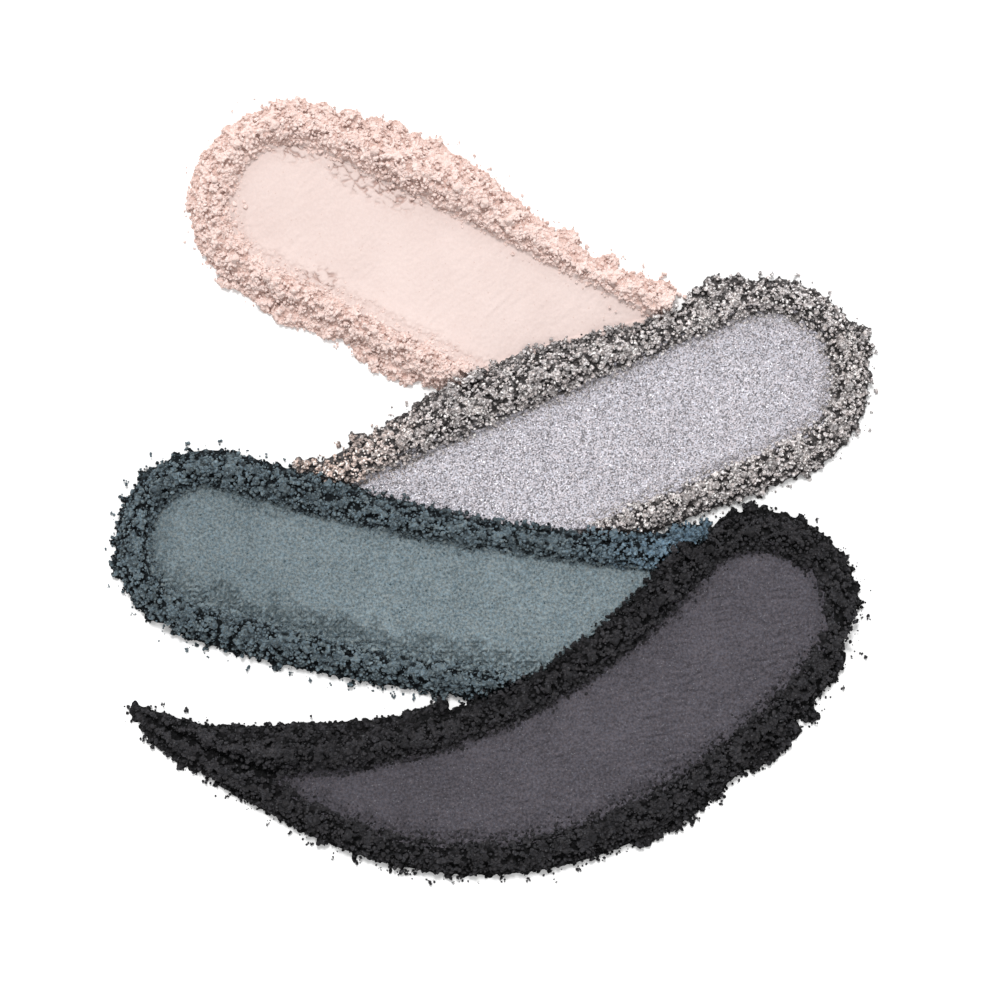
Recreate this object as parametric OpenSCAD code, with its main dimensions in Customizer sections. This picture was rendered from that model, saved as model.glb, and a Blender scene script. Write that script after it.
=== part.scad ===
// Four strokes of crushed eyeshadow, spread on a table with a flat blade.
// Each stroke is a thin pressed bed between ridges of crumbled powder: one round
// the end where the blade was set down, and one along each side. Loose clumps sit
// on the ridges, and crumbs lie round them on the table. The strokes were made in
// the order rose, silver, teal, charcoal, and each one ploughs through those before.
// Millimetres, +Z up, table at Z = 0, origin under the middle of the set.

/* [Blade and powder] */
// Width of the blade that pressed the beds
blade_w = 12.4; // [10:0.1:15]
// Thickness of a pressed bed
bed_t = 0.8; // [0.5:0.05:1.2]
// Height of a ridge of mean width above the table
ridge_h = 2.6; // [1.8:0.1:3.4]
// Width of a ridge of ordinary size at its foot
ridge_w = 4.4; // [3.4:0.1:5.4]
// Share of a ridge's width, from the bed, at which its crest stands
crest_at = 0.45; // [0.3:0.05:0.6]

/* [Loose powder] */
// Diameter of the largest clump on a ridge
clump_d = 1.3; // [0.8:0.1:1.6]
// Distance between clumps along a ridge
clump_pitch = 2.5; // [2:0.1:5]
// Diameter of the largest crumb on the table
crumb_d = 0.7; // [0.5:0.1:1.2]
// Distance between crumbs along a stroke's foot
crumb_pitch = 2; // [1.5:0.1:4]
// How far from a ridge's foot the crumbs reach
crumb_reach = 0.8; // [0.5:0.1:2.5]

/* [Rose stroke] */
// Where the blade was set down, to the right of the table's mark
rose_x = -19.8; // [-22:0.1:-17]
// Where the blade was set down, beyond the table's mark
rose_y = 28.9; // [27:0.1:31]
// Direction in which the blade was drawn, anticlockwise from +X
rose_heading = -26.5; // [-30:0.5:-20]
// Distance that the blade was drawn
rose_len = 38; // [31:0.5:46]
// How far the stroke bows out to its left
rose_bow = 0; // [-2:0.1:2]
// Share of the blade's width that the bed keeps
rose_keep = 0.95; // [0.8:0.01:1]

/* [Silver stroke] */
// Where the blade was set down, to the right of the table's mark
silver_x = 27.3; // [25:0.1:30]
// Where the blade was set down, beyond the table's mark
silver_y = 11.6; // [9:0.1:14]
// Direction in which the blade was drawn, anticlockwise from +X
silver_heading = 203; // [198:0.5:208]
// Distance that the blade was drawn
silver_len = 48; // [40:0.5:58]
// How far the stroke bows out to its left
silver_bow = 0; // [-2:0.1:2]
// Share of the blade's width that the bed keeps
silver_keep = 0.99; // [0.8:0.01:1]

/* [Teal stroke] */
// Where the blade was set down, to the right of the table's mark
teal_x = -28.4; // [-32:0.1:-26]
// Where the blade was set down, beyond the table's mark
teal_y = -5; // [-7:0.1:-3]
// Direction in which the blade was drawn, anticlockwise from +X
teal_heading = -9.5; // [-12:0.5:-6]
// Distance that the blade was drawn
teal_len = 51; // [42:0.5:62]
// How far the stroke bows out to its left
teal_bow = -1.7; // [-3:0.1:0]
// Share of the blade's width that the bed keeps
teal_keep = 0.89; // [0.8:0.01:1]

/* [Charcoal stroke] */
// Where the blade was set down, to the right of the table's mark
charcoal_x = 26.7; // [24:0.1:29]
// Where the blade was set down, beyond the table's mark
charcoal_y = -12; // [-14:0.1:-10]
// Direction in which the blade was drawn, anticlockwise from +X
charcoal_heading = 188.5; // [185:0.5:192]
// Distance from the start of the stroke to the tip of its tail
charcoal_len = 63.5; // [52:0.5:77]
// How far the stroke bows out to its left
charcoal_bow = 13.2; // [10:0.1:16]
// Share of the blade's width that the bed keeps
charcoal_keep = 1; // [0.8:0.01:1]
// Share of the stroke's length at which its bed has narrowed to nothing
charcoal_bed_end = 0.78; // [0.7:0.01:0.9]

/* [Hidden] */

rose_tint = [0.96, 0.86, 0.83];
silver_tint = [0.74, 0.73, 0.76];
teal_tint = [0.32, 0.42, 0.45];
charcoal_tint = [0.22, 0.21, 0.23];

station_pitch = 1;       // spacing of the cross-sections along a side
cap_steps = 18;          // cross-sections round a half circle
crest_steps = 3;         // points up the inner slope of a ridge
slope_steps = 4;         // points down its outer slope
slope_power = 1.6;       // how round the outer slope is: 1 is straight
narrow_power = 3;        // how late a bed that ends narrows: 1 is a straight wedge
tip_w = 0.5;             // width of a ridge at the tip of a tail
seat_gap = 0.03;         // clearance under a clump on its crest
crumb_gap = 0.1;         // clearance between a crumb and what it lies beside
least_clump = 0.4;       // smallest clump, as a share of the largest
least_crumb = 0.3;       // smallest crumb, as a share of the largest
clump_seed = 10;         // these three pick the sizes and places of the loose powder
crumb_seed = 20;
scatter_seed = 30;
ball_sides = 24;
cut_margin = 1;          // how far a cut runs past what it cuts
left = 1;
right = -1;

// A ridge is [mean width over ridge_w, swell, swells along the stroke, place of the widest].
// A stroke is [start, heading, length, bow, bed width, place where the bed ends,
// left ridge, right ridge, share by which its cap ridge is widest at the back].
rose = [[rose_x, rose_y], rose_heading, rose_len, rose_bow, blade_w * rose_keep, undef,
    [1.02, 0.35, 1.05, 0.31], [1, 0.05, 1.5, 0.5], 0.16];
silver = [[silver_x, silver_y], silver_heading, silver_len, silver_bow, blade_w * silver_keep, undef,
    [0.93, 0.08, 1, 0], [1.07, 0.22, 1.1, 0.52], 0.06];
teal = [[teal_x, teal_y], teal_heading, teal_len, teal_bow, blade_w * teal_keep, undef,
    [0.86, 0.12, 0.9, 0.05], [0.94, 0.08, 0.8, 0.1], -0.06];
charcoal = [[charcoal_x, charcoal_y], charcoal_heading, charcoal_len, charcoal_bow,
    blade_w * charcoal_keep, charcoal_bed_end, [0.98, 0.07, 1.5, 0.3], [0.95, 0.08, 1.2, 0.8], 0];
strokes = [rose, silver, teal, charcoal];

function unit(a) = [cos(a), sin(a)];
function turned(v) = [-v.y, v.x];
function smooth(t) = t * t * (3 - 2 * t);

function start(stroke) = stroke[0];
function heading(stroke) = stroke[1];
function reach(stroke) = stroke[2];
function bow(stroke) = stroke[3];
function bed_w(stroke) = stroke[4];
function bed_end(stroke) = stroke[5];
function ridge_of(stroke, side) = side == left ? stroke[6] : stroke[7];
function cap_swell(stroke) = stroke[8];
function keeps_width(stroke) = is_undef(bed_end(stroke));
function stations(stroke) = ceil(reach(stroke) / station_pitch);

// The line down the middle of a stroke, and its direction, at share s of the way along it.
function spine(stroke, s) = start(stroke) + unit(heading(stroke)) * reach(stroke) * s
    + turned(unit(heading(stroke))) * bow(stroke) * 4 * s * (1 - s);
function spine_angle(stroke, s) = heading(stroke) + atan(bow(stroke) * 4 * (1 - 2 * s) / reach(stroke));

// A bed keeps its width, or narrows to nothing where it ends.
function half_bed(stroke, s) = bed_w(stroke) / 2
    * (keeps_width(stroke) ? 1 : max(0, 1 - pow(s / bed_end(stroke), narrow_power)));
// How far s lies along the tail that is left once the bed has ended.
function tail(stroke, s) = keeps_width(stroke) || s < bed_end(stroke) ? 0
    : (s - bed_end(stroke)) / (1 - bed_end(stroke));
function side_ridge_w(stroke, side, s) =
    let (r = ridge_of(stroke, side), w = ridge_w * r[0] * (1 + r[1] * cos(360 * r[2] * (s - r[3]))))
    w + (tip_w - w) * tail(stroke, s);

// A station is [foot on the bed's edge, direction away from the bed, ridge width].
function side_station(stroke, side, s) =
    let (out = turned(unit(spine_angle(stroke, s))) * side)
    [spine(stroke, s) + out * half_bed(stroke, s), out, side_ridge_w(stroke, side, s)];
function foot(station) = station[0];
function outward(station) = station[1];
function width(station) = station[2];
function outer_foot(station) = foot(station) + outward(station) * width(station);
function crest(station) = foot(station) + outward(station) * width(station) * crest_at;
function wall_h(station) = min(bed_t, width(station) / 2);
function crest_h(station) = wall_h(station) + (ridge_h - bed_t) * width(station) / ridge_w;

// Stations run anticlockwise: up the left side, round the cap, and down the right side.
function left_stations(stroke) =
    let (n = stations(stroke)) [for (i = [n:-1:0]) side_station(stroke, left, i / n)];
function right_stations(stroke) =
    let (n = stations(stroke)) [for (i = [0:n]) side_station(stroke, right, i / n)];
function cap_stations(stroke) =
    let (
        wl = side_ridge_w(stroke, left, 0),
        wr = side_ridge_w(stroke, right, 0),
        first = spine_angle(stroke, 0) + 90)
    [for (i = [0:cap_steps])
        let (
            t = i / cap_steps,
            out = unit(first + 180 * t),
            w = (wl + (wr - wl) * smooth(t)) * (1 + cap_swell(stroke) * sin(180 * t)))
        [start(stroke) + out * half_bed(stroke, 0), out, w]];
function around(stroke) =
    let (l = left_stations(stroke), c = cap_stations(stroke), r = right_stations(stroke))
    concat([for (i = [0:len(l) - 2]) l[i]], c, [for (i = [1:len(r) - 1]) r[i]]);

// The bed's edge meets the ridges' feet point for point. Past the end of a bed
// that narrows away, the two feet run together and leave the outline.
function bed_outline(stroke) =
    let (
        n = stations(stroke),
        last_left = keeps_width(stroke) ? n : ceil(n * bed_end(stroke)),
        last_right = keeps_width(stroke) ? n : last_left - 1)
    concat(
        [for (i = [last_left:-1:1]) foot(side_station(stroke, left, i / n))],
        [for (station = cap_stations(stroke)) foot(station)],
        [for (i = [1:last_right]) foot(side_station(stroke, right, i / n))]);
function stroke_outline(stroke) = [for (station = around(stroke)) outer_foot(station)];
outlines = [for (stroke = strokes) stroke_outline(stroke)];

// Shortest way from a point to an outline, and whether the point lies inside it.
function to_segment(p, a, b) =
    let (d = b - a, t = max(0, min(1, (p - a) * d / max(d * d, 1e-9)))) norm(p - a - d * t);
function to_outline(p, outline) =
    min([for (i = [0:len(outline) - 1]) to_segment(p, outline[i], outline[(i + 1) % len(outline)])]);
function crossings(p, outline) = [for (i = [0:len(outline) - 1])
    let (a = outline[i], b = outline[(i + 1) % len(outline)])
    if ((a.y > p.y) != (b.y > p.y) && p.x < a.x + (p.y - a.y) * (b.x - a.x) / (b.y - a.y)) 1];
function is_inside(p, outline) = len(crossings(p, outline)) % 2 == 1;
function clear_of(p, gap, outline) = !is_inside(p, outline) && to_outline(p, outline) > gap;
function all_true(list) = len([for (v = list) if (!v) 1]) == 0;

// Clumps are [centre, radius]. One sits on a crest every clump_pitch, where no later stroke covers it.
function clumps(which) =
    let (
        all = around(strokes[which]),
        skip = round(clump_pitch / station_pitch),
        size = rands(least_clump, 1, len(all), clump_seed + which))
    [for (i = [skip:skip:len(all) - skip])
        let (
            station = all[i],
            r = clump_d / 2 * size[i] * min(1, width(station) / ridge_w),
            at = crest(station))
        if (all_true([for (k = [which + 1:1:len(strokes) - 1]) clear_of(at, r + crumb_gap, outlines[k])]))
            [[at.x, at.y, crest_h(station) + r + seat_gap], r]];

// Crumbs are [centre, radius]. Each lies nearer to its own stroke than to any other
// by more than a crumb's width, so that no two strokes' crumbs can meet.
function crumbs(which) =
    let (
        all = around(strokes[which]),
        skip = round(crumb_pitch / station_pitch),
        size = rands(least_crumb, 1, len(all), crumb_seed + which),
        far = rands(0, 1, len(all), scatter_seed + which))
    [for (i = [skip:skip:len(all) - skip])
        let (
            r = crumb_d / 2 * size[i],
            away = crumb_gap + r + crumb_reach * pow(far[i], 2),
            at = outer_foot(all[i]) + outward(all[i]) * away)
        if (all_true([for (k = [0:len(strokes) - 1])
                k == which || clear_of(at, away + crumb_d, outlines[k])]))
            [[at.x, at.y, r], r]];

// The origin stands under the middle of everything that lies on the table.
all_crumbs = [for (which = [0:len(strokes) - 1]) each crumbs(which)];
reach_x = concat(
    [for (outline = outlines) each [for (p = outline) p.x]],
    [for (c = all_crumbs) each [c[0].x - c[1], c[0].x + c[1]]]);
reach_y = concat(
    [for (outline = outlines) each [for (p = outline) p.y]],
    [for (c = all_crumbs) each [c[0].y - c[1], c[0].y + c[1]]]);
middle = [(min(reach_x) + max(reach_x)) / 2, (min(reach_y) + max(reach_y)) / 2];

// Cross-section of a ridge as [distance from the bed, height]: an upright foot
// against the bed, a rounded inner slope, and a longer outer slope.
function section(station) =
    let (w = width(station), foot_h = wall_h(station), h = crest_h(station))
    concat(
        [[0, 0]],
        [for (i = [0:crest_steps - 1])
            let (t = i / crest_steps) [w * crest_at * t, foot_h + (h - foot_h) * sin(90 * t)]],
        [for (i = [0:slope_steps])
            let (t = i / slope_steps) [w * (crest_at + (1 - crest_at) * t), h * (1 - pow(t, slope_power))]]);
function ring(station) = [for (p = section(station))
    let (xy = foot(station) + outward(station) * p.x) [xy.x, xy.y, p.y]];

module sweep(list) {
    n = len(section(list[0]));
    last = len(list) - 1;
    polyhedron(
        points = [for (station = list) each ring(station)],
        faces = concat(
            [[for (i = [0:n - 1]) i]],
            [for (k = [0:last - 1], i = [0:n - 1])
                let (a = k * n + i, b = a + n, c = (k + 1) * n + (i + 1) % n) [a, b, c]],
            [for (k = [0:last - 1], i = [0:n - 1])
                let (a = k * n + i, c = (k + 1) * n + (i + 1) % n, d = k * n + (i + 1) % n) [a, c, d]],
            [[for (i = [n - 1:-1:0]) last * n + i]]));
}

// What a later stroke ploughs away from the ones before it.
module ploughed(which) {
    for (k = [which + 1:1:len(strokes) - 1])
        translate([0, 0, -cut_margin])
            linear_extrude(2 * ridge_h + 2 * cut_margin) polygon(outlines[k]);
}

module bed(which) {
    translate([-middle.x, -middle.y, 0])
        difference() {
            linear_extrude(bed_t) polygon(bed_outline(strokes[which]));
            ploughed(which);
        }
}

module ridge(which, list) {
    translate([-middle.x, -middle.y, 0])
        difference() {
            sweep(list);
            ploughed(which);
        }
}

module balls(list) {
    translate([-middle.x, -middle.y, 0])
        for (ball = list)
            translate(ball[0]) sphere(ball[1], $fn = ball_sides);
}

module rose_bed() { color(rose_tint) bed(0); }
module rose_cap_ridge() { color(rose_tint) ridge(0, cap_stations(rose)); }
module rose_upper_ridge() { color(rose_tint) ridge(0, left_stations(rose)); }
module rose_lower_ridge() { color(rose_tint) ridge(0, right_stations(rose)); }
module rose_clumps() { color(rose_tint) balls(clumps(0)); }
module rose_crumbs() { color(rose_tint) balls(crumbs(0)); }

module silver_bed() { color(silver_tint) bed(1); }
module silver_cap_ridge() { color(silver_tint) ridge(1, cap_stations(silver)); }
module silver_upper_ridge() { color(silver_tint) ridge(1, right_stations(silver)); }
module silver_lower_ridge() { color(silver_tint) ridge(1, left_stations(silver)); }
module silver_clumps() { color(silver_tint) balls(clumps(1)); }
module silver_crumbs() { color(silver_tint) balls(crumbs(1)); }

module teal_bed() { color(teal_tint) bed(2); }
module teal_cap_ridge() { color(teal_tint) ridge(2, cap_stations(teal)); }
module teal_upper_ridge() { color(teal_tint) ridge(2, left_stations(teal)); }
module teal_lower_ridge() { color(teal_tint) ridge(2, right_stations(teal)); }
module teal_clumps() { color(teal_tint) balls(clumps(2)); }
module teal_crumbs() { color(teal_tint) balls(crumbs(2)); }

module charcoal_bed() { color(charcoal_tint) bed(3); }
module charcoal_cap_ridge() { color(charcoal_tint) ridge(3, cap_stations(charcoal)); }
module charcoal_upper_ridge() { color(charcoal_tint) ridge(3, right_stations(charcoal)); }
module charcoal_lower_ridge() { color(charcoal_tint) ridge(3, left_stations(charcoal)); }
module charcoal_clumps() { color(charcoal_tint) balls(clumps(3)); }
module charcoal_crumbs() { color(charcoal_tint) balls(crumbs(3)); }

rose_bed();
rose_cap_ridge();
rose_upper_ridge();
rose_lower_ridge();
rose_clumps();
rose_crumbs();
silver_bed();
silver_cap_ridge();
silver_upper_ridge();
silver_lower_ridge();
silver_clumps();
silver_crumbs();
teal_bed();
teal_cap_ridge();
teal_upper_ridge();
teal_lower_ridge();
teal_clumps();
teal_crumbs();
charcoal_bed();
charcoal_cap_ridge();
charcoal_upper_ridge();
charcoal_lower_ridge();
charcoal_clumps();
charcoal_crumbs();
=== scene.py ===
# Four strokes of crushed eyeshadow on a white table: rose, silver, teal and charcoal.
# Every stroke is a pressed bed, three ridges of crumbled powder, clumps and loose crumbs.
import math

import bmesh
import bpy
import numpy as np
from mathutils import Euler, Matrix, Vector, noise
from mathutils.bvhtree import BVHTree


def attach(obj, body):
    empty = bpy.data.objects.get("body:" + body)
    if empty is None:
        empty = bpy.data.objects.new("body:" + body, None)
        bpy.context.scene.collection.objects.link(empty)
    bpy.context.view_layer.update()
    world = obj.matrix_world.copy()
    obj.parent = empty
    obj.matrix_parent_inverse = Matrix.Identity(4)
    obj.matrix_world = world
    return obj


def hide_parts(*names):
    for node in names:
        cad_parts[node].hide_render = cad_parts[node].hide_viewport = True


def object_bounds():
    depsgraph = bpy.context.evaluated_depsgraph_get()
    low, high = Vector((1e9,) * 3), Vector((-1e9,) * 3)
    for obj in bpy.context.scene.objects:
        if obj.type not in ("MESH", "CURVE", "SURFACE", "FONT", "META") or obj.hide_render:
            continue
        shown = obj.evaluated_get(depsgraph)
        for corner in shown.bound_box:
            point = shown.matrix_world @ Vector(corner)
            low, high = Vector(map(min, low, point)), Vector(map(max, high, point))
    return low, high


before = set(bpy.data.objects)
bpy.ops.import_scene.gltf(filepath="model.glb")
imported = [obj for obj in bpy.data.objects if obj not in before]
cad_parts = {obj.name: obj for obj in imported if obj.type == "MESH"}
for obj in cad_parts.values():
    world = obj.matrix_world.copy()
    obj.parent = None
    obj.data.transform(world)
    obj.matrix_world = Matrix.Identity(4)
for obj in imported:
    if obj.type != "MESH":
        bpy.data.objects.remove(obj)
cadLow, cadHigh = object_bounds()
mm = 0.001
shades = ["rose", "silver", "teal", "charcoal"]  # in the order in which they were laid down
solidKinds = ["bed", "cap_ridge", "upper_ridge", "lower_ridge"]


studio = {
    "lens": 120,
    "view": 100,  # mm of table across the picture
    "aside": (0.85, -0.81),  # mm from the middle of the set to the middle of the picture
    "keyPower": 11.9,
    "keySize": 0.35,
    "keyAt": (-0.06, 0.62, 1.04),
    "world": 0.79,
    "table": (0.93, 0.93, 0.93),
}


def makeCamera(s):
    camera = bpy.data.objects.new("camera", bpy.data.cameras.new("camera"))
    bpy.context.scene.collection.objects.link(camera)
    camera.data.lens = s["lens"]
    away = s["view"] * mm * s["lens"] / camera.data.sensor_width
    middle = (cadLow + cadHigh) / 2
    camera.location = (middle.x + s["aside"][0] * mm, middle.y + s["aside"][1] * mm, away)
    camera.data.clip_start = away / 100
    camera.data.clip_end = away * 100
    bpy.context.scene.camera = camera


def areaLight(name, place, power, size):
    light = bpy.data.lights.new(name, "AREA")
    light.shape = "DISK"
    light.size = size
    light.energy = power
    lamp = bpy.data.objects.new(name, light)
    lamp.location = place
    lamp.rotation_euler = (-Vector(place)).to_track_quat("-Z", "Y").to_euler()
    bpy.context.scene.collection.objects.link(lamp)


def makeStudio(s):
    areaLight("keyLight", s["keyAt"], s["keyPower"], s["keySize"])
    world = bpy.data.worlds.new("studio")
    world.use_nodes = True
    world.node_tree.nodes["Background"].inputs["Strength"].default_value = s["world"]
    world.node_tree.nodes["Background"].inputs["Color"].default_value = (1, 1, 1, 1)
    bpy.context.scene.world = world
    bpy.context.scene.view_settings.view_transform = "Standard"
    bm = bmesh.new()
    bmesh.ops.create_grid(bm, x_segments=1, y_segments=1, size=2)
    table = objectFrom(bm, "table")
    paper = newMaterial("tableWhite")
    shaderOf(paper).inputs["Base Color"].default_value = (*s["table"], 1)
    shaderOf(paper).inputs["Roughness"].default_value = 0.9
    table.data.materials.append(paper)


def newMaterial(name):
    material = bpy.data.materials.new(name)
    material.use_nodes = True
    return material


def shaderOf(material):
    return material.node_tree.nodes["Principled BSDF"]


def addNode(tree, kind, values=None, **settings):
    node = tree.nodes.new(kind)
    for key, value in settings.items():
        setattr(node, key, value)
    for key, value in (values or {}).items():
        node.inputs[key].default_value = value
    return node


def newGroup(name, inputs, outputs):
    tree = bpy.data.node_groups.new(name, "ShaderNodeTree")
    for label, kind, value in inputs:
        socket = tree.interface.new_socket(label, in_out="INPUT", socket_type=kind)
        socket.default_value = value
    for label, kind in outputs:
        tree.interface.new_socket(label, in_out="OUTPUT", socket_type=kind)
    return tree, tree.nodes.new("NodeGroupInput"), tree.nodes.new("NodeGroupOutput")


# Powder colour that wanders from place to place and from grain to grain and goes over to a darker
# painted shade colour where the piece's shade attribute is low, with a height for the bump.
def makeGrainGroup():
    tree, given, out = newGroup(
        "powderGrain",
        [("Light", "NodeSocketColor", (1, 1, 1, 1)), ("Dark", "NodeSocketColor", (0, 0, 0, 1)),
         ("Hollow Shade", "NodeSocketColor", (0, 0, 0, 1)), ("Patch Scale", "NodeSocketFloat", 300),
         ("Grain Scale", "NodeSocketFloat", 6000), ("Patch Share", "NodeSocketFloat", 0.3),
         ("Turned", "NodeSocketColor", (1, 1, 1, 1)), ("Turn From", "NodeSocketFloat", 0),
         ("Turn To", "NodeSocketFloat", 1)],
        [("Color", "NodeSocketColor"), ("Height", "NodeSocketFloat")])
    link = tree.links.new
    place = addNode(tree, "ShaderNodeTexCoord")
    patch = addNode(tree, "ShaderNodeTexNoise", {"Detail": 3, "Roughness": 0.6})
    grain = addNode(tree, "ShaderNodeTexNoise", {"Detail": 4, "Roughness": 0.75})
    for texture, scale in ((patch, "Patch Scale"), (grain, "Grain Scale")):
        link(place.outputs["Object"], texture.inputs["Vector"])
        link(given.outputs[scale], texture.inputs["Scale"])
    both = addNode(tree, "ShaderNodeMix", data_type="FLOAT")
    link(given.outputs["Patch Share"], both.inputs["Factor"])
    link(grain.outputs["Fac"], both.inputs[2])
    link(patch.outputs["Fac"], both.inputs[3])
    stretch = addNode(tree, "ShaderNodeMapRange", {"From Min": 0.36, "From Max": 0.64})
    link(both.outputs[0], stretch.inputs["Value"])
    tint = addNode(tree, "ShaderNodeMix", data_type="RGBA")
    link(stretch.outputs["Result"], tint.inputs["Factor"])
    link(given.outputs["Dark"], tint.inputs[6])
    link(given.outputs["Light"], tint.inputs[7])
    shadeAndTone = addNode(tree, "ShaderNodeAttribute", attribute_name="shadeAndTone")
    split = addNode(tree, "ShaderNodeSeparateXYZ")
    link(place.outputs["Object"], split.inputs[0])
    along = addNode(tree, "ShaderNodeMapRange")
    link(split.outputs["X"], along.inputs["Value"])
    link(given.outputs["Turn From"], along.inputs["From Min"])
    link(given.outputs["Turn To"], along.inputs["From Max"])
    turned = addNode(tree, "ShaderNodeMix", data_type="RGBA", blend_type="MULTIPLY")
    link(along.outputs["Result"], turned.inputs["Factor"])
    link(tint.outputs[2], turned.inputs[6])
    link(given.outputs["Turned"], turned.inputs[7])
    hollowShaded = addNode(tree, "ShaderNodeMix", data_type="RGBA")
    link(shadeAndTone.outputs["Fac"], hollowShaded.inputs["Factor"])
    link(given.outputs["Hollow Shade"], hollowShaded.inputs[6])
    link(turned.outputs[2], hollowShaded.inputs[7])
    link(hollowShaded.outputs[2], out.inputs["Color"])
    link(grain.outputs["Fac"], out.inputs["Height"])
    return tree


# Flat flakes of mica: each cell has its own brightness, tint and tilt, and a few of them flash.
# In the shimmer powder the brightness and the flash are painted glints.
def makeFlakeGroup():
    tree, given, out = newGroup(
        "micaFlakes",
        [("Flake Scale", "NodeSocketFloat", 6000), ("Tilt", "NodeSocketFloat", 0.5),
         ("Rarity", "NodeSocketFloat", 0.8), ("Warm", "NodeSocketColor", (1, 1, 1, 1)),
         ("Cool", "NodeSocketColor", (1, 1, 1, 1))],
        [("Value", "NodeSocketFloat"), ("Flash", "NodeSocketFloat"), ("Normal", "NodeSocketVector"),
         ("Tint", "NodeSocketColor")])
    link = tree.links.new
    place = addNode(tree, "ShaderNodeTexCoord")
    cells = addNode(tree, "ShaderNodeTexVoronoi")
    link(place.outputs["Object"], cells.inputs["Vector"])
    link(given.outputs["Flake Scale"], cells.inputs["Scale"])
    split = addNode(tree, "ShaderNodeSeparateColor")
    link(cells.outputs["Color"], split.inputs["Color"])
    flash = addNode(tree, "ShaderNodeMath", operation="GREATER_THAN")
    link(split.outputs["Green"], flash.inputs[0])
    link(given.outputs["Rarity"], flash.inputs[1])
    tint = addNode(tree, "ShaderNodeMix", data_type="RGBA")
    link(split.outputs["Blue"], tint.inputs["Factor"])
    link(given.outputs["Warm"], tint.inputs[6])
    link(given.outputs["Cool"], tint.inputs[7])
    centred = addNode(tree, "ShaderNodeVectorMath", {1: (0.5, 0.5, 0.5)}, operation="SUBTRACT")
    link(cells.outputs["Color"], centred.inputs[0])
    tilted = addNode(tree, "ShaderNodeVectorMath", operation="SCALE")
    link(centred.outputs[0], tilted.inputs[0])
    link(given.outputs["Tilt"], tilted.inputs["Scale"])
    facing = addNode(tree, "ShaderNodeNewGeometry")
    added = addNode(tree, "ShaderNodeVectorMath", operation="ADD")
    link(facing.outputs["Normal"], added.inputs[0])
    link(tilted.outputs[0], added.inputs[1])
    unit = addNode(tree, "ShaderNodeVectorMath", operation="NORMALIZE")
    link(added.outputs[0], unit.inputs[0])
    link(split.outputs["Red"], out.inputs["Value"])
    link(flash.outputs[0], out.inputs["Flash"])
    link(unit.outputs[0], out.inputs["Normal"])
    link(tint.outputs[2], out.inputs["Tint"])
    return tree


grainGroup = makeGrainGroup()
flakeGroup = makeFlakeGroup()


def useGroup(tree, group, values):
    node = tree.nodes.new("ShaderNodeGroup")
    node.node_tree = group
    for key, value in values.items():
        node.inputs[key].default_value = value
    return node


def multiply(tree, first, second):
    node = addNode(tree, "ShaderNodeMix", data_type="RGBA", blend_type="MULTIPLY")
    node.inputs["Factor"].default_value = 1
    tree.links.new(first, node.inputs[6])
    tree.links.new(second, node.inputs[7])
    return node.outputs[2]


def useGrain(tree, s):
    return useGroup(tree, grainGroup, {
        "Light": (*s["light"], 1), "Dark": (*s["dark"], 1), "Hollow Shade": (*s["hollowShade"], 1),
        "Patch Scale": s["patchScale"], "Grain Scale": s["grainScale"], "Patch Share": s["patchShare"],
        "Turned": (*s.get("turned", (1, 1, 1)), 1), "Turn From": s.get("turnFrom", 1) * mm,
        "Turn To": s.get("turnTo", 2) * mm})


# A matte powder: grain in its colour and relief, and now and then a bright or dark speck.
def mattePowder(name, s):
    material = newMaterial(name)
    tree = material.node_tree
    link = tree.links.new
    shader = shaderOf(material)
    shader.inputs["Roughness"].default_value = 1
    shader.inputs["Specular IOR Level"].default_value = s["gloss"]
    grain = useGrain(tree, s)
    specks = useGroup(tree, flakeGroup, {
        "Flake Scale": s["speckScale"], "Rarity": s["speckRarity"], "Warm": (*s["warm"], 1),
        "Cool": (*s["cool"], 1)})
    tint = addNode(tree, "ShaderNodeMix", {7: (*s["speck"], 1)}, data_type="RGBA")
    link(specks.outputs["Flash"], tint.inputs["Factor"])
    link(multiply(tree, grain.outputs["Color"], specks.outputs["Tint"]), tint.inputs[6])
    link(tint.outputs[2], shader.inputs["Base Color"])
    bump = addNode(tree, "ShaderNodeBump", {"Strength": s["bump"], "Distance": s["bumpDepth"] * mm})
    link(grain.outputs["Height"], bump.inputs["Height"])
    link(bump.outputs["Normal"], shader.inputs["Normal"])
    return material


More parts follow.
